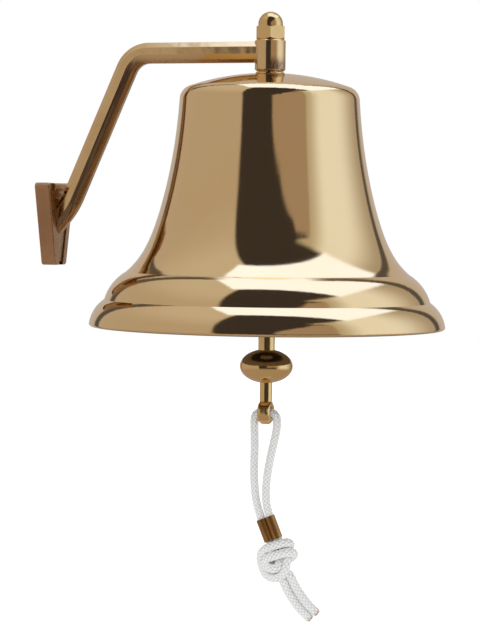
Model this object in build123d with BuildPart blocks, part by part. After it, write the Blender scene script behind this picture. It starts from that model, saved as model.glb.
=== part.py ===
from build123d import *
from math import pi, radians, sqrt, tan
import os

# Ship's bell on a wall bracket, in millimetres. X = 0 is the wall and X points away from it,
# Z is up, and Y = 0 is the plane of symmetry. The origin is the middle of the wall shoe's back.

# ---------------------------------------------------------------- driving sizes

# Bell: a casting turned and polished, its heights counted up from the mouth plane
mouth_d = 204.0
bell_h = 144.6              # mouth plane to the flat under the collar
band_h = 15.2               # lip band, up to its crease
band_step = 8.8             # how far that crease stands inside the lip
band_bulge = 2.0            # how far the band swells past its chord
bead_h = 31.0               # bead over the band, up to its crease
bead_step = 21.0
bead_bulge = 1.9
lip_edge = 1.4              # rounding of the mouth's outer edge
body_d = 102.0              # body just under the shoulder
body_flare = ((0, 1), (0.11, 0.68), (0.24, 0.475), (0.42, 0.29), (0.68, 0.11), (1, 0))
crown_r = 140.0             # radius of the shallow dome
shoulder_r = 8.0
crown_seat_d = 18.0         # flat on the crown for the collar
body_wall = 4.0
bow_wall = 6.2              # wall at the crease over the bead, measured level
lip_wall = 5.6
crown_wall = 6.0
inner_seat_d = 25.0         # flat under the crown for the inner washer

# Wall shoe: a keystone plate with a tapered dovetail channel
shoe_h = 48.0
shoe_depth = 9.2
shoe_top_w = 41.6
shoe_bottom_w = 16.8
shoe_floor = 2.8            # plate left behind the channel
shoe_corner = 2.2
shoe_edge = 0.8
channel_top_w = 32.0        # opening between the lips
channel_bottom_w = 5.2
channel_undercut = 1.5      # how much further each flank reaches at the floor
screw_hole_d = 4.2
screw_head_d = 8.0
screw_pcd = 20.0
screw_centre_z = 4.0
screw_count = 3

# Bracket: one casting with the foot that drops into the shoe, the arm and the boss
reach = 135.6               # wall to the bell's axis
arm_z = 99.4                # centre of the level bar
arm_w = 12.0
arm_t = 11.8
arm_top_bevel = 3.0
arm_flank_drop = 1.1        # the upright flanks end this far under the centre
arm_keel_w = 3.6            # narrow flat along the underside
arm_bilge_w = 8.6           # corner between the two lower bevels
arm_bilge_rise = 1.8
arm_soften = 0.6            # rounding of the section's corners
elbow_x = 53.4              # corner between the level bar and the slope
elbow_r = 15.0
knee_out = 5.3              # corner between the slope and the root, out from the shoe's face
knee_z = 10.6
knee_r = 46.0
root_in = 5.2               # the arm's line ends inside the foot, behind that face
root_z = -2.0
foot_fit = 0.15             # foot to channel, on every side
foot_short = 2.0            # foot ends this far above the shoe's lower end
foot_recess = 0.8           # foot stands this far behind the shoe's lips
foot_drop = 0.3             # foot's top, under the shoe's
head_h = 4.6                # thicker head at the top of the foot
head_proud = 1.5            # head stands out past the shoe's lips
head_edge = 1.2
pad_w = 12.0                # low pad under the head
pad_h = 3.4
pad_proud = 0.9
pad_edge = 0.5
boss_d = 17.5
boss_over = 0.9             # boss above the bar's top and below its underside
boss_under = 4.9
boss_top_edge = 0.45
boss_low_edge = 0.9
boss_blend = 0.5            # fillet where the bar runs into the boss

# Hanging bolt and what it holds
bolt_d = 10.0
bolt_run = 0.05             # radial running clearance in the boss
bolt_fit = 0.05             # radial clearance in the pieces that turn with the bolt
running_gap = 0.5           # boss to collar
collar_d = 16.5
collar_h = 0.9
collar_edge = 0.3
nut_washer_d = 15.8
nut_washer_t = 0.5
washer_edge = 0.15
washer_play = 0.05
nut_flats = 16.0
nut_h = 7.3
nut_turn = -74.0            # direction of one corner, degrees from X
nut_dome_r = 7.05
nut_dome_lift = 1.3         # dome's centre above the hexagon
nut_thread = 11.0
inner_washer_d = 22.0
inner_washer_t = 1.5
inner_nut_h = 8.0
eye_neck = 2.0              # inner nut to the eye below it
eye_root = 0.3              # a shank's end stays this far inside its eye's bar
bolt_eye_r = 6.5            # middle of the eye's bar
bolt_eye_bar = 4.0

# Clapper: link, rod, ball and tail
link_r = 8.0
link_bar = 3.0
link_slack = 0.3            # between bars that hang in each other
rod_eye_r = 5.0
rod_eye_bar = 3.5
rod_d = 9.5
rod_neck = 5.0
ball_d = 30.5
ball_h = 19.5
ball_drop = 22.3            # ball's middle below the mouth plane
spigot_d = 6.0
spigot_fit = 0.05
spigot_l = 8.5
tail_d = 7.1
tail_eye_drop = 26.5        # ball's middle to the middle of the lanyard eye
tail_eye_d = 13.8
tail_eye_t = 7.6
tail_hole_d = 6.2
tail_eye_edge = 2.4
tail_hole_edge = 1.2

# Lanyard: one cord through the tail eye, held by a ferrule and a knot. Its points are X and Z
# from the middle of the eye.
cord_d = 5.0
arc_share = 0.45            # of the shorter run beside each corner, taken by its arc
left_route = ((0, 0), (-4.1, 0), (-6.8, -2.7), (-6.6, -9.8), (-6.3, -22.0), (-6.6, -35.5),
              (-5.8, -47.7), (-3.7, -57.24), (3.54, -74.91))
right_route = ((0, 0), (4.1, 0), (6.9, -2.7), (6.9, -9.2), (5.0, -18.0), (2.3, -30.0),
               (0.6, -43.5), (1.02, -55.3), (8.26, -72.97))
left_tail_route = ((10.62, -94.15), (14.1, -102.0), (19.0, -109.1), (23.3, -114.0), (28.5, -118.0))
right_tail_route = ((15.43, -92.18), (18.4, -98.8), (22.8, -105.0), (27.6, -110.8), (32.4, -114.5))
ferrule_l = 14.1
ferrule_wall = 0.5
ferrule_fit = 0.05
ferrule_valley = 1.7        # half depth of the crimped middle
knot_d = 19.2
knot_l = 21.9
knot_neck_d = 10.2
knot_grip = 0.6             # length of cord let into the knot's solid

# ---------------------------------------------------------------- places

mouth_r = mouth_d / 2
body_r = body_d / 2
bolt_r = bolt_d / 2
cord_r = cord_d / 2
shoe_top = shoe_h / 2
boss_top = arm_z + arm_t / 2 + boss_over
boss_bottom = arm_z - arm_t / 2 - boss_under
collar_z = boss_bottom - running_gap - collar_h
mouth_z = collar_z - bell_h
nut_washer_z = boss_top + washer_play
nut_z = nut_washer_z + nut_washer_t
ball_z = mouth_z - ball_drop
tail_eye_z = ball_z - tail_eye_drop
bell_axis = Axis((reach, 0, 0), (0, 0, 1))


def side_plane(z):
    """Plane of symmetry with its origin on the bell's axis: local x is X and local y is Z."""
    return Plane(origin=(reach, 0, z), x_dir=(1, 0, 0), z_dir=(0, -1, 0))


def ring_plane(z, normal):
    return Plane(origin=(reach, 0, z), z_dir=normal)


def circles_at(part, radius, z):
    """The part's level circles of one radius at one height."""
    rings = part.edges().filter_by(GeomType.CIRCLE)
    return rings.filter_by(lambda e: abs(e.radius - radius) < 0.01 and abs(e.arc_center.Z - z) < 0.01)


os.makedirs("parts", exist_ok=True)


def save(part, name):
    part.label = name
    export_step(part, f"parts/{name}.step")


# ---------------------------------------------------------------- wall shoe


def channel_half(x, z):
    """Half width of the dovetail channel at a depth x and a height z."""
    low = channel_bottom_w / 2
    opening = low + (channel_top_w / 2 - low) * (z + shoe_top) / shoe_h
    return opening + channel_undercut * (shoe_depth - x) / (shoe_depth - shoe_floor)


def keystone(low_z, low_half, high_z, high_half):
    """Corners of a wedge that is wider at one height than at the other."""
    return ((-low_half, low_z), (low_half, low_z), (high_half, high_z), (-high_half, high_z))


def dovetail(x, low_z, high_z, gap):
    """Corners of the channel's wedge at a depth x, its flanks drawn in by a gap."""
    return keystone(low_z, channel_half(x, low_z) - gap, high_z, channel_half(x, high_z) - gap)


with BuildPart() as wall_shoe:
    with BuildSketch(Plane.YZ):
        with BuildLine():
            Polyline(*keystone(-shoe_top, shoe_bottom_w / 2, shoe_top, shoe_top_w / 2), close=True)
        make_face()
    extrude(amount=shoe_depth)
    fillet(wall_shoe.edges().filter_by(Axis.X), radius=shoe_corner)
    fillet(wall_shoe.faces().sort_by(Axis.X)[-1].edges(), radius=shoe_edge)
    fillet(wall_shoe.faces().sort_by(Axis.X)[0].edges(), radius=shoe_edge)
    for depth in (shoe_floor, shoe_depth + 1):
        with BuildSketch(Plane.YZ.offset(depth)):
            with BuildLine():
                Polyline(*dovetail(depth, -shoe_top - 1, shoe_top + 1, 0), close=True)
            make_face()
    loft(mode=Mode.SUBTRACT)
    with Locations(Plane.YZ.offset(shoe_floor)):
        with Locations((0, screw_centre_z)):
            with PolarLocations(screw_pcd / 2, screw_count, start_angle=-90):
                CounterSinkHole(screw_hole_d / 2, screw_head_d / 2, depth=shoe_floor)
save(wall_shoe.part, "wall_shoe")

# ---------------------------------------------------------------- bracket


def on_boss(point):
    return abs((point.X - reach) ** 2 + point.Y**2 - boss_d**2 / 4) < 0.01


foot_front = shoe_depth - foot_recess
foot_back = shoe_floor + foot_fit
foot_top = shoe_top - foot_drop
head_half = channel_half(shoe_depth, foot_top - head_h) - foot_fit

with BuildPart() as bracket_arm:
    with BuildLine(Plane.XZ) as arm_line:
        FilletPolyline((reach, arm_z), (elbow_x, arm_z), (shoe_depth + knee_out, knee_z),
                       (shoe_depth - root_in, root_z), radius=[elbow_r, knee_r])
    with BuildSketch(Plane(origin=(reach, 0, arm_z), x_dir=(0, -1, 0), z_dir=(-1, 0, 0))) as arm_section:
        half_w = arm_w / 2
        half_t = arm_t / 2
        arm_right = [(arm_keel_w / 2, -half_t), (arm_bilge_w / 2, arm_bilge_rise - half_t),
                     (half_w, -arm_flank_drop), (half_w, half_t - arm_top_bevel),
                     (half_w - arm_top_bevel, half_t)]
        with BuildLine():
            Polyline(*arm_right, *[(-x, y) for x, y in reversed(arm_right)], close=True)
        make_face()
        fillet(arm_section.vertices(), radius=arm_soften)
    sweep(path=arm_line.wire())
    split(bisect_by=Plane(origin=((foot_back + foot_front) / 2, 0, 0), z_dir=(1, 0, 0)), keep=Keep.TOP)

    for depth in (foot_back, foot_front):
        with BuildSketch(Plane.YZ.offset(depth)):
            with BuildLine():
                Polyline(*dovetail(depth, foot_short - shoe_top, foot_top, foot_fit), close=True)
            make_face()
    loft()
    with BuildSketch(Plane.YZ.offset(foot_back + foot_fit)):
        with Locations((0, foot_top)):
            Rectangle(2 * head_half, head_h, align=(Align.CENTER, Align.MAX))
    extrude(amount=shoe_depth + head_proud - foot_back - foot_fit)
    fillet(bracket_arm.faces().filter_by(Plane.YZ).filter_by(
        lambda f: abs(f.center().X - shoe_depth - head_proud) < 0.01).edges(), radius=head_edge)
    with BuildSketch(Plane.YZ.offset(foot_front)):
        with Locations((0, foot_top - head_h)):
            RectangleRounded(pad_w, 2 * pad_h, pad_edge)
    extrude(amount=pad_proud)

    with BuildSketch(Plane.XY.offset(boss_bottom)):
        with Locations((reach, 0)):
            Circle(boss_d / 2)
    extrude(amount=boss_top - boss_bottom)
    fillet(bracket_arm.edges().filter_by(lambda e: on_boss(e @ 0) and on_boss(e @ 1) and e.center().X < reach
                                         and boss_bottom < e.center().Z < boss_top), radius=boss_blend)
    chamfer(circles_at(bracket_arm, boss_d / 2, boss_top), length=boss_top_edge)
    chamfer(circles_at(bracket_arm, boss_d / 2, boss_bottom), length=boss_low_edge)
    with Locations((reach, 0, boss_top)):
        Hole(bolt_r + bolt_run, depth=boss_top - boss_bottom)
save(bracket_arm.part, "bracket_arm")

# ---------------------------------------------------------------- bell


def dome_z(r, radius):
    """Height over the mouth of a dome that is concentric with the crown's."""
    centre = bell_h - sqrt(crown_r**2 - (crown_seat_d / 2) ** 2)
    return centre + sqrt(radius**2 - r**2)


def flare(low_r, high_r, low_z, high_z):
    return [(high_r + (low_r - high_r) * share, low_z + (high_z - low_z) * rise)
            for rise, share in body_flare]


seat_r = crown_seat_d / 2
inner_seat_r = inner_seat_d / 2
inner_r = body_r - body_wall
inner_crown_r = crown_r - crown_wall
shoulder_z = dome_z(body_r, crown_r)
inner_shoulder_z = dome_z(inner_r, inner_crown_r)
inner_seat_z = dome_z(inner_seat_r, inner_crown_r)
bead_r = mouth_r - bead_step
band_r = mouth_r - band_step
arc_r = (seat_r + body_r) / 2
inner_arc_r = (inner_seat_r + inner_r) / 2

with BuildPart() as bell_shell:
    with BuildSketch(side_plane(mouth_z)):
        with BuildLine():
            Line((bolt_r + bolt_fit, bell_h), (seat_r, bell_h))
            ThreePointArc((seat_r, bell_h), (arc_r, dome_z(arc_r, crown_r)), (body_r, shoulder_z))
            Spline(*reversed(flare(bead_r, body_r, bead_h, shoulder_z)))
            SagittaArc((bead_r, bead_h), (band_r, band_h), bead_bulge)
            SagittaArc((band_r, band_h), (mouth_r, 0), band_bulge)
            Line((mouth_r, 0), (mouth_r - lip_wall, 0))
            Spline((mouth_r - lip_wall, 0), *flare(bead_r - bow_wall, inner_r, bead_h, inner_shoulder_z))
            ThreePointArc((inner_r, inner_shoulder_z), (inner_arc_r, dome_z(inner_arc_r, inner_crown_r)),
                          (inner_seat_r, inner_seat_z))
            Line((inner_seat_r, inner_seat_z), (bolt_r + bolt_fit, inner_seat_z))
            Line((bolt_r + bolt_fit, inner_seat_z), (bolt_r + bolt_fit, bell_h))
        make_face()
    revolve(axis=bell_axis)
    fillet(circles_at(bell_shell, body_r, mouth_z + shoulder_z), radius=shoulder_r)
    fillet(circles_at(bell_shell, inner_r, mouth_z + inner_shoulder_z), radius=shoulder_r - body_wall)
    fillet(circles_at(bell_shell, mouth_r, mouth_z), radius=lip_edge)
save(bell_shell.part, "bell_shell")

# ---------------------------------------------------------------- hanging bolt and its pieces


turning_r = bolt_r + bolt_fit
inner_washer_z = mouth_z + inner_seat_z - inner_washer_t
inner_nut_z = inner_washer_z - inner_nut_h
bolt_eye_z = inner_nut_z - eye_neck - bolt_eye_bar / 2 - bolt_eye_r


def ring(name, outer_d, z, height, edge):
    """A flat ring on the bolt, standing on a height z."""
    with BuildPart() as flat_ring:
        with BuildSketch(Plane.XY.offset(z)):
            with Locations((reach, 0)):
                Circle(outer_d / 2)
                Circle(turning_r, mode=Mode.SUBTRACT)
        extrude(amount=height)
        chamfer(circles_at(flat_ring, outer_d / 2, z + height), length=edge)
    save(flat_ring.part, name)


ring("crown_collar", collar_d, collar_z, collar_h, collar_edge)
ring("nut_washer", nut_washer_d, nut_washer_z, nut_washer_t, washer_edge)
ring("inner_washer", inner_washer_d, inner_washer_z, inner_washer_t, washer_edge)

nut_corner_r = nut_flats / sqrt(3)
nut_bevel = (nut_corner_r - nut_flats / 2) * tan(radians(30))

with BuildPart() as acorn_nut:
    with BuildSketch(ring_plane(nut_z, (0, 0, 1))):
        RegularPolygon(nut_flats / 2, 6, major_radius=False, rotation=nut_turn)
    extrude(amount=nut_h)
    with BuildSketch(side_plane(nut_z)):
        with BuildLine():
            Polyline((0, 0), (nut_flats / 2, 0), (nut_corner_r, nut_bevel), (nut_corner_r, nut_h - nut_bevel),
                     (nut_flats / 2, nut_h), (0, nut_h), close=True)
        make_face()
    revolve(axis=bell_axis, mode=Mode.INTERSECT)
    with BuildSketch(side_plane(nut_z + nut_h)):
        with BuildLine():
            Polyline((0, nut_dome_lift + nut_dome_r), (0, 0), (nut_dome_r, 0), (nut_dome_r, nut_dome_lift))
            CenterArc((0, nut_dome_lift), nut_dome_r, 0, 90)
        make_face()
    revolve(axis=bell_axis)
    with Locations(ring_plane(nut_z, (0, 0, -1))):
        Hole(turning_r, depth=nut_thread)
save(acorn_nut.part, "acorn_nut")

with BuildPart() as inner_nut:
    with BuildSketch(ring_plane(inner_nut_z, (0, 0, 1))):
        RegularPolygon(nut_flats / 2, 6, major_radius=False, rotation=nut_turn)
    extrude(amount=inner_nut_h)
    with Locations((reach, 0, inner_nut_z + inner_nut_h)):
        Hole(turning_r, depth=inner_nut_h)
save(inner_nut.part, "inner_nut")

with BuildPart() as eyebolt:
    with BuildSketch(side_plane(0)):
        with BuildLine():
            Polyline((0, nut_z + nut_thread - bolt_fit), (0, bolt_eye_z + bolt_eye_r),
                     (bolt_eye_bar / 2 - eye_root, bolt_eye_z + bolt_eye_r),
                     (bolt_r, inner_nut_z - eye_neck / 2), (bolt_r, nut_z + nut_thread - bolt_fit), close=True)
        make_face()
    revolve(axis=bell_axis)
    with Locations(ring_plane(bolt_eye_z, (0, 1, 0))):
        Torus(bolt_eye_r, bolt_eye_bar / 2)
save(eyebolt.part, "eyebolt")

# ---------------------------------------------------------------- clapper

link_top_z = bolt_eye_z - bolt_eye_r + bolt_eye_bar / 2 + link_slack + link_bar / 2
link_z = link_top_z - link_r
link_low_z = link_z - link_r
rod_eye_z = link_low_z + link_slack + link_bar / 2 + rod_eye_bar / 2 - rod_eye_r

with BuildPart(ring_plane(link_z, (1, 0, 0))) as clapper_link:
    Torus(link_r, link_bar / 2)
save(clapper_link.part, "clapper_link")


def ball_half(r):
    """Height of the ball's surface over its middle at a radius r."""
    return ball_h / 2 * sqrt(1 - (2 * r / ball_d) ** 2)


rod_seat = ball_half(rod_d / 2)
tail_seat = ball_half(tail_d / 2)
spigot_r = spigot_d / 2

with BuildPart() as clapper_rod:
    with BuildSketch(side_plane(0)):
        with BuildLine():
            neck_z = rod_eye_z - rod_eye_r
            Polyline((0, ball_z + rod_seat - spigot_l), (spigot_r, ball_z + rod_seat - spigot_l),
                     (spigot_r, ball_z + rod_seat), (rod_d / 2, ball_z + rod_seat),
                     (rod_d / 2, neck_z - rod_neck), (rod_eye_bar / 2 - eye_root, neck_z), (0, neck_z), close=True)
        make_face()
    revolve(axis=bell_axis)
    with Locations(ring_plane(rod_eye_z, (0, 1, 0))):
        Torus(rod_eye_r, rod_eye_bar / 2)
save(clapper_rod.part, "clapper_rod")

with BuildPart() as clapper_ball:
    with BuildSketch(side_plane(ball_z)):
        Ellipse(ball_d / 2, ball_h / 2)
        with Locations((0, rod_seat)):
            Rectangle(ball_d, ball_h, align=(Align.CENTER, Align.MIN), mode=Mode.SUBTRACT)
        with Locations((0, -tail_seat)):
            Rectangle(ball_d, ball_h, align=(Align.CENTER, Align.MAX), mode=Mode.SUBTRACT)
        with Locations((spigot_r + spigot_fit, 0)):
            Rectangle(ball_d, ball_h, align=(Align.MAX, Align.CENTER), mode=Mode.SUBTRACT)
    revolve(axis=bell_axis)
save(clapper_ball.part, "clapper_ball")

with BuildPart() as clapper_tail:
    with BuildSketch(ring_plane(tail_eye_z, (1, 0, 0))):
        Circle(tail_eye_d / 2)
    extrude(amount=tail_eye_t / 2, both=True)
    fillet(clapper_tail.edges().filter_by(GeomType.CIRCLE), radius=tail_eye_edge)
    with BuildSketch(side_plane(ball_z)):
        with Locations((0, -tail_seat)):
            Rectangle(tail_d / 2, tail_eye_drop - tail_seat - tail_hole_d, align=(Align.MIN, Align.MAX))
            Rectangle(spigot_r, spigot_l, align=(Align.MIN, Align.MIN))
    revolve(axis=bell_axis)
    with BuildSketch(ring_plane(tail_eye_z, (1, 0, 0))):
        Circle(tail_hole_d / 2)
    extrude(amount=tail_eye_t, both=True, mode=Mode.SUBTRACT)
    fillet(clapper_tail.edges().filter_by(GeomType.CIRCLE).filter_by(
        lambda e: abs(e.radius - tail_hole_d / 2) < 0.01), radius=tail_hole_edge)
save(clapper_tail.part, "clapper_tail")

# ---------------------------------------------------------------- lanyard

eye_side = side_plane(tail_eye_z)


def arc_radii(points):
    """The largest arc for each corner that leaves a straight piece on both of its runs."""
    radii = []
    for before, corner, after in zip(points, points[1:], points[2:]):
        run_in = Vector(*corner) - Vector(*before)
        run_out = Vector(*after) - Vector(*corner)
        half_turn = radians(run_in.get_angle(run_out)) / 2
        radii.append(arc_share * min(run_in.length, run_out.length) / tan(half_turn))
    return radii


def cord(points, name):
    """A round cord along the points, in the plane of symmetry."""
    radii = arc_radii(points)
    with BuildPart() as tube:
        with BuildLine(eye_side) as line:
            FilletPolyline(*points, radius=radii)
        with BuildSketch(Plane(origin=line.wire() @ 0, z_dir=line.wire() % 0)):
            Circle(cord_r)
        sweep(path=line.wire())
    expected = line.wire().length * pi * cord_r**2
    print(name, "radii", [round(r, 1) for r in radii], "length", round(line.wire().length, 1),
          "volume", round(tube.part.volume / expected, 4))
    save(tube.part, name)


cord(left_route, "lanyard_left_strand")
cord(right_route, "lanyard_right_strand")
cord(left_tail_route, "lanyard_left_tail")
cord(right_tail_route, "lanyard_right_tail")

left_end = eye_side.from_local_coords(Vector(*left_route[-1]))
left_entry = eye_side.from_local_coords(Vector(*left_route[-2]))
right_end = eye_side.from_local_coords(Vector(*right_route[-1]))
down = (left_end - left_entry).normalized()
across = (right_end - left_end).normalized()
strand_half = (right_end - left_end).length / 2
ferrule_foot = (left_end + right_end) / 2
ferrule_plane = Plane(origin=ferrule_foot, x_dir=across, z_dir=down)

with BuildPart() as ferrule:
    with BuildSketch(ferrule_plane.offset(-ferrule_l)):
        with Locations((strand_half, 0), (-strand_half, 0)):
            Circle(cord_r + ferrule_fit + ferrule_wall)
        Rectangle(2 * strand_half, 2 * ferrule_valley)
        with Locations((strand_half, 0), (-strand_half, 0)):
            Circle(cord_r + ferrule_fit, mode=Mode.SUBTRACT)
        Rectangle(2 * strand_half, 2 * (ferrule_valley - ferrule_wall), mode=Mode.SUBTRACT)
    extrude(amount=ferrule_l - knot_grip)
save(ferrule.part, "ferrule")

knot_side = Plane(origin=ferrule_foot - down * knot_grip, x_dir=ferrule_plane.x_dir,
                  z_dir=ferrule_plane.x_dir.cross(ferrule_plane.z_dir))

with BuildPart() as knot:
    with BuildSketch(knot_side):
        with BuildLine():
            Polyline((knot_neck_d / 2, knot_l), (0, knot_l), (0, 0), (knot_neck_d / 2, 0))
            ThreePointArc((knot_neck_d / 2, 0), (knot_d / 2, knot_l / 2), (knot_neck_d / 2, knot_l))
        make_face()
    revolve(axis=Axis(knot_side.origin, knot_side.y_dir))
save(knot.part, "knot")
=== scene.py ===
from math import cos, pi, radians, sin

import bpy
import numpy as np
from mathutils import Matrix, Vector


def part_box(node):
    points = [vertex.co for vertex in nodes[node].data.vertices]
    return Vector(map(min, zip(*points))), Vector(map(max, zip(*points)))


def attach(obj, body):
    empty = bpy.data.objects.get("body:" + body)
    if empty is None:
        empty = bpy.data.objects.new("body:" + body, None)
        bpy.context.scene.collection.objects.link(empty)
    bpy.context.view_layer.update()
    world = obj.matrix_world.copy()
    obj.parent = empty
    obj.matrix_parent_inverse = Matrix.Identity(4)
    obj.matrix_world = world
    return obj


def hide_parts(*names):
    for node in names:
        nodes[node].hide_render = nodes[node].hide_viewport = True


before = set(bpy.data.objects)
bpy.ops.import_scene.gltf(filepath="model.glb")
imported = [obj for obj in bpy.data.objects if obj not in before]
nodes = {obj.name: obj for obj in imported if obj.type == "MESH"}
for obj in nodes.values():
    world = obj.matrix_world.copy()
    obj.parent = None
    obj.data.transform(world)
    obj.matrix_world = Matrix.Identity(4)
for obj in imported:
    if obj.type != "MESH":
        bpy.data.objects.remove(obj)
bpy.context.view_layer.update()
bpy.ops.object.select_all(action="DESELECT")

# ---------------------------------------------------------------- studio
# A polished bell shows the room, so the room is built of boards set round it: a wide tan board on
# the left, a dark gap at the camera, a brown board right of it, a white panel on the right and
# another overhead. They glow on a dome that only reflections see, and the floor is pale.


class Tone:
    """A socket of a node tree. Sums on it add Math nodes, and made() adds any other node."""

    MIXED_COLOUR = 2             # the places of the colour sockets on a Mix node
    FIRST_COLOUR = 6
    SECOND_COLOUR = 7

    def __init__(self, tree, socket=None):
        self.tree = tree
        self.socket = socket

    def made(self, kind, wanted, settings, sockets):
        node = self.tree.nodes.new(kind)
        for name, value in settings.items():
            setattr(node, name, value)
        for name, value in sockets.items():
            if isinstance(value, Tone):
                self.tree.links.new(value.socket, node.inputs[name])
            else:
                node.inputs[name].default_value = value
        return Tone(self.tree, wanted and node.outputs[wanted])

    def math(self, operation, first, second):
        return self.made("ShaderNodeMath", "Value", {"operation": operation}, {0: first, 1: second})

    def __add__(self, other):
        return self.math("ADD", self, other)

    def __sub__(self, other):
        return self.math("SUBTRACT", self, other)

    def __rsub__(self, other):
        return self.math("SUBTRACT", other, self)

    def __mul__(self, other):
        return self.math("MULTIPLY", self, other)

    def __truediv__(self, other):
        return self.math("DIVIDE", self, other)

    __radd__ = __add__
    __rmul__ = __mul__

    def __abs__(self):
        return self.math("ABSOLUTE", self, 0.0)

    def coordinate(self, kind):
        """Texture coordinates, such as Object for the place on the piece."""
        return self.made("ShaderNodeTexCoord", kind, {}, {})

    def part(self, axis):
        """The X, Y or Z of a vector."""
        return self.made("ShaderNodeSeparateXYZ", axis, {}, {"Vector": self})

    def vector(self, operation, other, wanted="Vector"):
        return self.made("ShaderNodeVectorMath", wanted, {"operation": operation}, {0: self, 1: other})

    def noise(self, scale, detail, roughness=0.5):
        return self.made("ShaderNodeTexNoise", "Fac", {},
                         {"Vector": self, "Scale": scale, "Detail": detail, "Roughness": roughness})

    def rise(self, low, high):
        """0 below low, 1 above high and smooth between; the other way round where low is above high."""
        if low > high:
            return 1 - self.rise(high, low)
        return self.made("ShaderNodeMapRange", "Result", {"interpolation_type": "SMOOTHSTEP"},
                         {"Value": self, "From Min": low, "From Max": high})

    def mix(self, first, second):
        """The colour first where this is 0 and second where it is 1."""
        return self.made("ShaderNodeMix", self.MIXED_COLOUR, {"data_type": "RGBA"},
                         {"Factor": self, self.FIRST_COLOUR: first, self.SECOND_COLOUR: second})


CAMERA_PLACE = Vector((0.487, -1.221, 0.010))
CAMERA_HEADING = radians(16.75)
CAMERA_TILT = radians(2.86)
CAMERA_ROLL = radians(0.7)
CAMERA_LENS = 124.9
CAMERA_SENSOR = 36
CAMERA_REACH = 60

camera = bpy.data.objects.new("camera", bpy.data.cameras.new("camera"))
camera.data.lens = CAMERA_LENS
camera.data.sensor_width = CAMERA_SENSOR
camera.data.clip_end = CAMERA_REACH
camera.matrix_world = (Matrix.Translation(CAMERA_PLACE) @ Matrix.Rotation(CAMERA_HEADING, 4, "Z")
                       @ Matrix.Rotation(pi / 2 - CAMERA_TILT, 4, "X")
                       @ Matrix.Rotation(CAMERA_ROLL, 4, "Z"))
bpy.context.scene.collection.objects.link(camera)
bpy.context.scene.camera = camera
bpy.context.scene.view_settings.view_transform = "Standard"

FRONT = radians(16.0)            # bearings are counted from the camera's side, to the right
BELL_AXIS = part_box("bell_shell")[0].lerp(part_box("bell_shell")[1], 0.5).x
DOME_RADIUS = 1.7
DOME_SEGMENTS = 96
DOME_RINGS = 48

bpy.ops.mesh.primitive_uv_sphere_add(segments=DOME_SEGMENTS, ring_count=DOME_RINGS, radius=DOME_RADIUS)
dome = bpy.context.object
dome.name = "studio_boards"
dome.visible_camera = False
dome.visible_diffuse = False
dome.visible_shadow = False
boards_paint = bpy.data.materials.new("studio_boards")
boards_paint.use_nodes = True
boards_paint.cycles.emission_sampling = "NONE"
boards_paint.node_tree.nodes.clear()
room = Tone(boards_paint.node_tree)
spot = room.coordinate("Object").vector("SUBTRACT", (BELL_AXIS, 0, 0))
direction = room.made("ShaderNodeVectorMath", "Vector", {"operation": "NORMALIZE"}, {0: spot})
east = direction.part("X")
north = direction.part("Y")
up = direction.part("Z")
right = east * cos(FRONT) + north * sin(FRONT)
near = east * sin(FRONT) - north * cos(FRONT)
bearing = room.math("ARCTAN2", right, near) * (180 / pi)
height = room.math("ARCSINE", up, 0.0) * (180 / pi)

# each edge goes from the first of its two numbers to the second, in degrees as the bell sees it
DARK_GAP = (0.046, 0.039, 0.042, 1)
BROWN_BOARD = (0.37, 0.295, 0.255, 1)
BROWN_SIDE = (3, 4)
BROWN_SLANT = (22.5, 21)
BROWN_SLANT_SLOPE = 0.7
BROWN_SLANT_WAVE = 14
BROWN_HEAD = (41, 39)
BROWN_HEAD_WAVE = 6
BROWN_FOOT = (-3, -1)
WAVE_SCALE = 4.0
WAVE_DETAIL = 2.5
wave = direction.noise(WAVE_SCALE, WAVE_DETAIL)
slant = height - BROWN_SLANT_SLOPE * bearing + BROWN_SLANT_WAVE * wave
brown = bearing.rise(*BROWN_SIDE) * slant.rise(*BROWN_SLANT)
brown = brown * (height + BROWN_HEAD_WAVE * wave).rise(*BROWN_HEAD) * height.rise(*BROWN_FOOT)
boards = brown.mix(DARK_GAP, BROWN_BOARD)

WHITE_PANEL = (0.86, 0.93, 1.10, 1)
PANEL_EDGE = (0.50, 0.47, 0.42, 1)
PANEL_FOOT = (0.43, 0.39, 0.36, 1)
PANEL_SIDE = (45.5, 47)
PANEL_CORNER = (37, 42)          # the panel's upper corner is cut back between these heights
PANEL_CORNER_CUT = 16
PANEL_HEAD = (39, 34)
PANEL_HEAD_SLOPE = 0.17
PANEL_GLOW = (46, 68)
PANEL_FADE = (88, 134)
panel = (bearing + PANEL_CORNER_CUT * height.rise(*PANEL_CORNER)).rise(*PANEL_SIDE)
panel = panel * (height - PANEL_HEAD_SLOPE * bearing).rise(*PANEL_HEAD)
glow = bearing.rise(*PANEL_GLOW).mix(PANEL_EDGE, WHITE_PANEL)
glow = bearing.rise(*PANEL_FADE).mix(glow, PANEL_FOOT)
boards = panel.mix(boards, glow)

# the top panel is flat, so its edges are in parts of its height over the bell
TOP_PANEL = (1.17, 1.38, 2.05, 1)
TOP_LEFT = (-0.315, -0.30)
TOP_RIGHT = (0.98, 0.84)
TOP_NEAR = (0.33, 0.29)
TOP_NEAR_SKEW = 0.1
TOP_RISE = (0.3, 0.45)           # sines of the heights between which it comes into view
LEAST_UP = 0.02
high = up.math("MAXIMUM", up, LEAST_UP)
top = (right / high).rise(*TOP_LEFT) * (right / high).rise(*TOP_RIGHT)
top = top * ((near - TOP_NEAR_SKEW * right) / high).rise(*TOP_NEAR) * up.rise(*TOP_RISE)
boards = top.mix(boards, TOP_PANEL)

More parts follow.
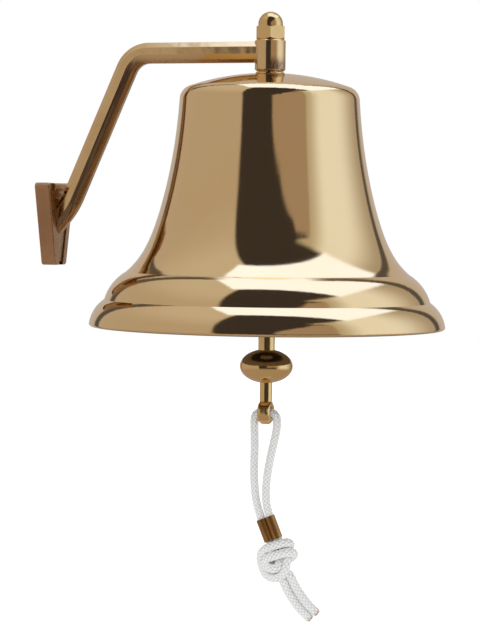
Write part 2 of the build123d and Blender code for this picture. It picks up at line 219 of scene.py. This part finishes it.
TAN_BOARD = (0.49, 0.43, 0.40, 1)
TAN_BOARD_HIGH = (0.59, 0.55, 0.53, 1)
TAN_SIDE = (-32.4, -33.6)
TAN_SIDE_LEAN = 0.09
TAN_LIGHTER = (20, 60)
left = (bearing + TAN_SIDE_LEAN * height).rise(*TAN_SIDE) * (1 - top)
boards = left.mix(boards, height.rise(*TAN_LIGHTER).mix(TAN_BOARD, TAN_BOARD_HIGH))

BACKDROP = (0.53, 0.48, 0.46, 1)
BACKDROP_SIDE = (134, 136)
BACKDROP_HEAD = (70, 60)
SEAM = (0.10, 0.09, 0.09, 1)
SEAM_END = (146, 142)
LOW_BOARD = (0.41, 0.34, 0.31, 1)
LOW_BOARD_HEAD = (-8, -30)
behind = abs(bearing).rise(*BACKDROP_SIDE) * height.rise(*BACKDROP_HEAD)
boards = behind.mix(boards, BACKDROP)
boards = (behind * abs(bearing).rise(*SEAM_END)).mix(boards, SEAM)
boards = height.rise(*LOW_BOARD_HEAD).mix(boards, LOW_BOARD)
shine = room.made("ShaderNodeEmission", "Emission", {}, {"Color": boards})
room.made("ShaderNodeOutputMaterial", None, {}, {"Surface": shine})
dome.data.materials.append(boards_paint)

studio = bpy.data.worlds.new("studio")
bpy.context.scene.world = studio
studio.use_nodes = True
studio.node_tree.nodes["Background"].inputs["Color"].default_value = (1, 1, 1, 1)

FLOOR_RADIUS = 9
FLOOR_SEGMENTS = 96
FLOOR_HEIGHT = -0.6
FLOOR_PALE = (0.9, 0.9, 0.9, 1)
FLOOR_GLOW = (1, 1, 1, 1)
FLOOR_GLOW_STRENGTH = 0.35
bpy.ops.mesh.primitive_circle_add(vertices=FLOOR_SEGMENTS, radius=FLOOR_RADIUS, fill_type="NGON",
                                  location=(0, 0, FLOOR_HEIGHT))
floor = bpy.context.object
floor.name = "floor"
floor.visible_glossy = False
floor.visible_diffuse = False
pale = bpy.data.materials.new("pale_floor")
pale.use_nodes = True
pale_shader = pale.node_tree.nodes["Principled BSDF"]
pale_shader.inputs["Base Color"].default_value = FLOOR_PALE
pale_shader.inputs["Emission Color"].default_value = FLOOR_GLOW
pale_shader.inputs["Emission Strength"].default_value = FLOOR_GLOW_STRENGTH
floor.data.materials.append(pale)

# ---------------------------------------------------------------- wall shoe
# The keystone plate that is screwed to the wall. It is cast brass with a tapered dovetail channel
# and is polished by hand, a little unevenly. The channel and the back are duller, with painted shade.

CLOUD = (22.0, 4.0, 0.6)         # scale, detail and roughness of the deeper coloured clouds
CLOUD_EDGE = (0.35, 0.75)
CLOUD_HAZE = 0.03
LINE = (260.0, 3.0, 0.7)         # the same for the polishing lines, which run level
LINE_STRETCH = 14
LINE_EDGE = (0.35, 0.8)
LINE_DEPTH = 0.04
DENT_DETAIL = 2.0
DENT_STRENGTH = 0.5


def brass(name, colour, deep, rough, dents, dent_size, scratch):
    """Polished brass: warmer where the metal is deep in colour, hazier along fine polishing lines."""
    metal = bpy.data.materials.new(name)
    metal.use_nodes = True
    shader = metal.node_tree.nodes["Principled BSDF"]
    shader.inputs["Metallic"].default_value = 1
    place = Tone(metal.node_tree).coordinate("Object")
    patina = place.noise(*CLOUD).rise(*CLOUD_EDGE)
    lines = place.made("ShaderNodeMapping", "Vector", {},
                       {"Vector": place, "Scale": (1, 1, LINE_STRETCH)})
    haze = lines.noise(*LINE)
    ripple = place.noise(1 / dent_size, DENT_DETAIL)
    roughness = rough + scratch * haze.rise(*LINE_EDGE) + CLOUD_HAZE * patina
    bump = place.made("ShaderNodeBump", "Normal", {},
                      {"Height": ripple + LINE_DEPTH * haze, "Strength": DENT_STRENGTH,
                       "Distance": dents})
    link = metal.node_tree.links.new
    link(patina.mix(colour, deep).socket, shader.inputs["Base Color"])
    link(roughness.socket, shader.inputs["Roughness"])
    link(bump.socket, shader.inputs["Normal"])
    return metal


def paint_shade_and_dull(metal, mask, colour, rougher):
    """Where the mask is 1, the brass takes a painted shade colour and is rougher."""
    shader = metal.node_tree.nodes["Principled BSDF"]
    bright = Tone(metal.node_tree, shader.inputs["Base Color"].links[0].from_socket)
    smooth = Tone(metal.node_tree, shader.inputs["Roughness"].links[0].from_socket)
    metal.node_tree.links.new(mask.mix(bright, colour).socket, shader.inputs["Base Color"])
    metal.node_tree.links.new((smooth + rougher * mask).socket, shader.inputs["Roughness"])


SHOE_GOLD = (0.62, 0.38, 0.21, 1)
SHOE_DEEP = (0.47, 0.28, 0.15, 1)
SHOE_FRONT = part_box("wall_shoe")[1].x
SHOE_MIDDLE = 0.0146             # half width of the keystone at its middle height
SHOE_TAPER = 0.258               # growth of that half width for each metre up
SHOE_RIM = 0.0026                # the channel's flanks stay this far inside the outer sides
CHANNEL_PAINTED_SHADE = (0.075, 0.038, 0.022, 1)
CHANNEL_SIDE = (0.0004, -0.0004)
CHANNEL_MOUTH = (SHOE_FRONT - 0.0006, SHOE_FRONT - 0.0010)
CHANNEL_ROUGHER = 0.25
shoe_brass = brass("shoe_brass", SHOE_GOLD, SHOE_DEEP, rough=0.22, dents=0.0005, dent_size=0.008,
                   scratch=0.10)
on_shoe = Tone(shoe_brass.node_tree).coordinate("Object")
# painted shade: the channel and the back behind the front face are painted dark brown as shade
rim_out = abs(on_shoe.part("Y")) - SHOE_TAPER * on_shoe.part("Z") - (SHOE_MIDDLE - SHOE_RIM)
channel = rim_out.rise(*CHANNEL_SIDE) * on_shoe.part("X").rise(*CHANNEL_MOUTH)
paint_shade_and_dull(shoe_brass, channel, CHANNEL_PAINTED_SHADE, CHANNEL_ROUGHER)
nodes["wall_shoe"].material_slots[0].material = shoe_brass

# ---------------------------------------------------------------- bracket
# One casting: the wedge that drops into the shoe, the chamfered arm and the round boss. It is
# polished where it shows and duller beneath. The outer side of the slope is painted darker as shade,
# most on its side facets, with streaks along its length.

CAST_GOLD = (0.86, 0.63, 0.32, 1)
CAST_DEEP = (0.76, 0.52, 0.24, 1)
UNDER_SHADE_BROWN = (0.66, 0.45, 0.25, 1)
UNDER_SHADE_DARK = (0.20, 0.13, 0.08, 1)
UNDER_FACING = Vector((0.9, 0, -0.45))
UNDER_EDGE = (0.12, 0.30)
UNDER_ROUGHER = 0.16
BAR_FOOT = (0.098, 0.092)        # the painted shade and its streaks stop at the underside of the level bar
SLOPE = radians(66)
STREAK = (900.0, 3.0, 0.6)
STREAK_STRETCH = 40
STREAK_EDGE = (0.40, 0.60)
STREAK_SHARE = 0.5
FACET_EDGE = (0.45, 0.75)        # the side facets get more painted shade than the keel
FACET_SHADE_SHARE = 0.6
cast_brass = brass("cast_brass", CAST_GOLD, CAST_DEEP, rough=0.10, dents=0.0004, dent_size=0.014,
                   scratch=0.08)
on_arm = Tone(cast_brass.node_tree).coordinate("Object")
arm_facing = Tone(cast_brass.node_tree).coordinate("Normal")
# painted shade on the faces that turn down and away, with polishing streaks in it
under = UNDER_FACING.x * arm_facing.part("X") + UNDER_FACING.z * arm_facing.part("Z")
under = under.rise(*UNDER_EDGE) * on_arm.part("Z").rise(*BAR_FOOT)
along_slope = on_arm.made("ShaderNodeMapping", "Vector", {"vector_type": "TEXTURE"},
                          {"Vector": on_arm, "Rotation": (0, -SLOPE, 0),
                           "Scale": (STREAK_STRETCH, 1, 1)})
streaks_and_facet_shade = STREAK_SHARE * along_slope.noise(*STREAK).rise(*STREAK_EDGE)
streaks_and_facet_shade = streaks_and_facet_shade + FACET_SHADE_SHARE * abs(arm_facing.part("Y")).rise(*FACET_EDGE)
paint_shade_and_dull(cast_brass, under, streaks_and_facet_shade.mix(UNDER_SHADE_BROWN, UNDER_SHADE_DARK), UNDER_ROUGHER)
nodes["bracket_arm"].material_slots[0].material = cast_brass

# ---------------------------------------------------------------- bolt, nuts and washers
# Turned from brass bar and left bright from the tool: the cap nut and its washer on the boss, the
# collar under it, and the eyebolt that carries bell and clapper.

TURNED_GOLD = (0.87, 0.62, 0.28, 1)
TURNED_DEEP = (0.78, 0.53, 0.21, 1)
turned_brass = brass("turned_brass", TURNED_GOLD, TURNED_DEEP, rough=0.10, dents=0.0002,
                     dent_size=0.010, scratch=0.06)
for turned in ("acorn_nut", "nut_washer", "crown_collar", "eyebolt", "inner_washer", "inner_nut"):
    nodes[turned].material_slots[0].material = turned_brass

# ---------------------------------------------------------------- bell
# The bell is cast in bell brass, turned all over and buffed to a mirror outside. Its inside is left
# as it came from the lathe, dull, and is painted darker and greyer as shade in the hollow.

BELL_GOLD = (0.91, 0.69, 0.37, 1)
BELL_DEEP = (0.90, 0.665, 0.345, 1)
INSIDE_PAINTED_SHADE = (0.28, 0.25, 0.22, 1)
INSIDE_EDGE = (0.02, -0.02)
INSIDE_ROUGHER = 0.37
bell_brass = brass("bell_brass", BELL_GOLD, BELL_DEEP, rough=0.05, dents=0.0004, dent_size=0.060,
                   scratch=0.03)
on_bell = Tone(bell_brass.node_tree).coordinate("Object")
bell_facing = Tone(bell_brass.node_tree).coordinate("Normal")
outward = on_bell.vector("SUBTRACT", (BELL_AXIS, 0, 0)).vector("MULTIPLY", (1, 1, 0))
outward = outward.made("ShaderNodeVectorMath", "Vector", {"operation": "NORMALIZE"}, {0: outward})
outward_and_up = outward.vector("ADD", (0, 0, 1))
# painted shade: the inside and the faces under the lip are darker and greyer; they are also duller
inside_shade_and_dull = bell_facing.vector("DOT_PRODUCT", outward_and_up, wanted="Value").rise(*INSIDE_EDGE)
paint_shade_and_dull(bell_brass, inside_shade_and_dull, INSIDE_PAINTED_SHADE, INSIDE_ROUGHER)
nodes["bell_shell"].material_slots[0].material = bell_brass

# ---------------------------------------------------------------- clapper
# The ring, the rod with its ball and the stem with the lanyard's eye, turned and bent from the same
# bright brass as the bolt.

for struck in ("clapper_link", "clapper_rod", "clapper_ball", "clapper_tail"):
    nodes[struck].material_slots[0].material = turned_brass

# ---------------------------------------------------------------- lanyard
# One length of white braided cord hangs doubled in the clapper's eye, made here as two cords that
# start there. A brass sleeve is crimped round both legs, and under it they are tied in a knot with
# two short ends.

CORD_D = 0.0050
EYE_RADIUS = 0.0069
EYE = Vector((BELL_AXIS, 0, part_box("clapper_tail")[0].z + EYE_RADIUS))
# millimetres to the right of the eye and above it
LEFT_STRAND = ((0, 0), (-4.1, 0), (-6.8, -2.7), (-6.6, -9.8), (-6.3, -22.0), (-6.6, -35.5),
               (-5.8, -47.7), (-3.7, -57.24), (3.54, -74.91))
RIGHT_STRAND = ((0, 0), (4.1, 0), (6.9, -2.7), (6.9, -9.2), (5.0, -18.0), (2.3, -30.0),
                (0.6, -43.5), (1.02, -55.3), (8.26, -72.97))
LEFT_TAIL = ((10.62, -94.15), (14.1, -102.0), (19.0, -109.1), (23.3, -114.0), (28.5, -118.0))
RIGHT_TAIL = ((15.43, -92.18), (18.4, -98.8), (22.8, -105.0), (27.6, -110.8), (32.4, -114.5))
FERRULE_FOOT = (5.9, -73.94)
DOWN = (0.379, -0.925)           # the way the sleeve points
# millimetres from the sleeve's foot: across to the right, down its line and towards the front
LEFT_KNOT = ((-2.2, 4.2, -2.4), (-2.0, 8.4, -2.8), (-1.0, 11.6, -0.6), (-1.7, 14.7, 2.6),
             (-5.2, 15.3, 3.2), (-8.9, 12.7, 2.6), (-9.0, 8.2, 2.4), (-4.8, 7.8, 3.8),
             (0.8, 8.2, 4.4), (5.8, 8.4, 3.2), (8.6, 10.4, -0.6), (5.8, 12.6, -5.6),
             (0.0, 13.4, -7.6), (-5.8, 14.2, -6.4), (-6.4, 17.8, -3.6))
RIGHT_KNOT = ((2.8, 4.2, -2.2), (3.0, 8.6, -2.6), (3.4, 12.0, -0.6), (2.6, 15.6, 2.0),
              (-1.2, 20.2, 2.2), (-6.8, 20.8, 1.4), (-11.6, 17.6, 0.6), (-12.2, 11.2, 0.0),
              (-10.4, 5.0, 1.0), (-5.8, 2.4, 2.8), (0.0, 2.7, 3.8), (5.4, 2.8, 3.2),
              (8.6, 4.2, 0.2), (6.4, 6.8, -5.4), (0.2, 7.6, -7.6), (-7.2, 8.8, -4.8),
              (-7.6, 13.6, -2.8), (-3.6, 18.4, -2.8))
MILLIMETRES = 1000


def cord_points(strand, knot, tail):
    """All points of one cord, from the eye to its cut end."""
    flat = [Vector((x, 0, z)) for x, z in strand]
    for across, down, front in knot:
        flat.append(Vector((FERRULE_FOOT[0] - across * DOWN[1] + down * DOWN[0], -front,
                            FERRULE_FOOT[1] + across * DOWN[0] + down * DOWN[1])))
    flat += [Vector((x, 0, z)) for x, z in tail]
    return [EYE + point / MILLIMETRES for point in flat]


LINE_RESOLUTION = 32
SAME_POINT = 1e-6


def smooth_line(points):
    """Points along the smooth line that the route's points pull into shape."""
    curve = bpy.data.curves.new("route", "CURVE")
    curve.dimensions = "3D"
    spline = curve.splines.new("NURBS")
    spline.points.add(len(points) - 1)
    for control, point in zip(spline.points, points):
        control.co = (*point, 1)
    spline.order_u = 3
    spline.use_endpoint_u = True
    spline.resolution_u = LINE_RESOLUTION
    holder = bpy.data.objects.new("route", curve)
    bpy.context.scene.collection.objects.link(holder)
    bpy.context.view_layer.update()
    mesh = bpy.data.meshes.new_from_object(holder)
    line = np.array([v.co for v in mesh.vertices])
    gaps = np.linalg.norm(np.diff(line, axis=0, prepend=line[:1] - 1), axis=1)
    bpy.data.objects.remove(holder)
    return line[gaps > SAME_POINT]


def even_steps(line, step):
    """The line's points at even steps, with a frame that turns as little as it can."""
    run = np.concatenate([[0], np.cumsum(np.linalg.norm(np.diff(line, axis=0), axis=1))])
    count = int(run[-1] / step)
    at = np.linspace(0, run[-1], count)
    points = np.stack([np.interp(at, run, line[:, i]) for i in range(3)], 1)
    along = np.gradient(points, axis=0)
    along /= np.linalg.norm(along, axis=1)[:, None]
    side = np.zeros_like(points)
    side[0] = (0, 1, 0)
    for i in range(1, count):
        side[i] = side[i - 1] - along[i] * (side[i - 1] @ along[i])
        side[i] /= np.linalg.norm(side[i])
    return at, points, side, np.cross(along, side)


YARNS = 6                        # each way round
LAY = 0.0150                     # one turn of a yarn
YARN_WIDE = 0.00088              # half width
YARN_THICK = 0.00042             # half thickness
YARN_DEEP = 0.00052              # how far a yarn dips under the others
YARN_SIDES = 5
CORE_SIDES = 12
STEP = 0.00024
SWELL = 0.08                     # the knot and the loose ends are this much fuller
SWELL_FROM = 0.083               # where the sleeve lets go of the cord
SWELL_OVER = 0.006
END_TAPER = 0.0018               # the cut ends are drawn in by the heat that seals them
END_PULL = 0.3


def braid(name, line):
    """Twelve yarns, six each way, one over and one under, on a soft core."""
    at, points, side, other = even_steps(line, STEP)
    seal = np.clip((at - at[-1]) / END_TAPER + 1, 0, 1)
    swell = 1 + SWELL * np.clip((at - SWELL_FROM) / SWELL_OVER, 0, 1) - END_PULL * seal ** 2
    full = CORD_D / 2 * swell
    verts, faces, dips, seals = [], [], [], []

    def tube(centres, first, second, wide, thick, dip, sealed, ring):
        start = len(verts)
        for i, centre in enumerate(centres):
            for k in range(ring):
                turn = 2 * pi * k / ring
                verts.append(centre + first[i] * wide[i] * cos(turn) + second[i] * thick[i] * sin(turn))
                dips.append(dip[i])
                seals.append(sealed[i])
        for i in range(len(centres) - 1):
            for k in range(ring):
                a = start + i * ring + k
                b = start + i * ring + (k + 1) % ring
                faces.append((a, b, b + ring, a + ring))
        last = start + (len(centres) - 1) * ring
        faces.append(tuple(start + k for k in reversed(range(ring))))
        faces.append(tuple(last + k for k in range(ring)))

    for way in (1, -1):
        for yarn in range(YARNS):
            angle = way * 2 * pi * at / LAY + 2 * pi * yarn / YARNS
            weave = way * np.cos(2 * pi * YARNS * at / LAY)
            out = np.cos(angle)[:, None] * side + np.sin(angle)[:, None] * other
            reach = full - YARN_THICK - YARN_DEEP / 2 + weave * YARN_DEEP / 2
            centres = points + out * reach[:, None]
            forward = np.gradient(centres, axis=0)
            forward /= np.linalg.norm(forward, axis=1)[:, None]
            flat = np.cross(forward, out)
            flat /= np.linalg.norm(flat, axis=1)[:, None]
            tube(centres, flat, np.cross(flat, forward), YARN_WIDE * swell, YARN_THICK * swell,
                 0.5 + weave / 2, seal, YARN_SIDES)
    core = full - 2 * YARN_THICK - YARN_DEEP / 2
    tube(points[::2], side[::2], other[::2], core[::2], core[::2], np.zeros(len(at))[::2],
         seal[::2], CORE_SIDES)
    mesh = bpy.data.meshes.new(name)
    mesh.from_pydata([tuple(v) for v in verts], [], faces)
    for attribute, values in (("dip", dips), ("seal", seals)):
        layer = mesh.attributes.new(attribute, "FLOAT", "POINT")
        layer.data.foreach_set("value", np.array(values, np.float32))
    mesh.polygons.foreach_set("use_smooth", [True] * len(mesh.polygons))
    cord = bpy.data.objects.new(name, mesh)
    bpy.context.scene.collection.objects.link(cord)
    return cord


VALLEY_PAINTED_SHADE = (0.36, 0.37, 0.35, 1)
YARN_WHITE = (0.93, 0.93, 0.92, 1)
SEALED_BROWN = (0.42, 0.22, 0.13, 1)
COTTON_ROUGH = 0.75
FIBRE = (3200.0, 3.0, 0.7)       # scale, detail and roughness
FIBRE_SHADE = 0.2
FIBRE_STRENGTH = 0.6
FIBRE_DEPTH = 0.0002
VALLEY_LEVEL = 0.35
OVER_LIGHTER = 0.75
SEAL_SHARE = 0.7
cotton = bpy.data.materials.new("white_braid")
cotton.use_nodes = True
cotton_shader = cotton.node_tree.nodes["Principled BSDF"]
cotton_shader.inputs["Roughness"].default_value = COTTON_ROUGH
cotton_tone = Tone(cotton.node_tree)
over = cotton_tone.made("ShaderNodeAttribute", "Fac", {"attribute_name": "dip"}, {})
sealed_end = cotton_tone.made("ShaderNodeAttribute", "Fac", {"attribute_name": "seal"}, {})
fibre = cotton_tone.coordinate("Object").noise(*FIBRE)
# painted shade: the yarns turn grey where they dip under the others, in the braid's valleys
white = (VALLEY_LEVEL + OVER_LIGHTER * over - FIBRE_SHADE * fibre).mix(VALLEY_PAINTED_SHADE, YARN_WHITE)
white = (SEAL_SHARE * sealed_end).mix(white, SEALED_BROWN)
fuzz = cotton_tone.made("ShaderNodeBump", "Normal", {},
                        {"Height": fibre, "Strength": FIBRE_STRENGTH, "Distance": FIBRE_DEPTH})
cotton.node_tree.links.new(white.socket, cotton_shader.inputs["Base Color"])
cotton.node_tree.links.new(fuzz.socket, cotton_shader.inputs["Normal"])

for cord_name, cord_length, strand, knot, tail, stood_for in (
        ("lanyard_left_cord", 0.186, LEFT_STRAND, LEFT_KNOT, LEFT_TAIL,
         ("lanyard_left_strand", "knot", "lanyard_left_tail")),
        ("lanyard_right_cord", 0.208, RIGHT_STRAND, RIGHT_KNOT, RIGHT_TAIL,
         ("lanyard_right_strand", "lanyard_right_tail"))):
    line = smooth_line(cord_points(strand, knot, tail))
    cord = braid(cord_name, line)
    cord.data.materials.append(cotton)
    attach(cord, "lanyard")
    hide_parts(*stood_for)

# ---------------------------------------------------------------- ferrule
# A brass sleeve pressed round both legs of the cord. It is not polished again after the press, so
# it is browner and duller than the rest.

AGED_GOLD = (0.62, 0.36, 0.12, 1)
AGED_DEEP = (0.40, 0.21, 0.07, 1)
ferrule_brass = brass("ferrule_brass", AGED_GOLD, AGED_DEEP, rough=0.36, dents=0.0006,
                      dent_size=0.006, scratch=0.14)
nodes["ferrule"].material_slots[0].material = ferrule_brass
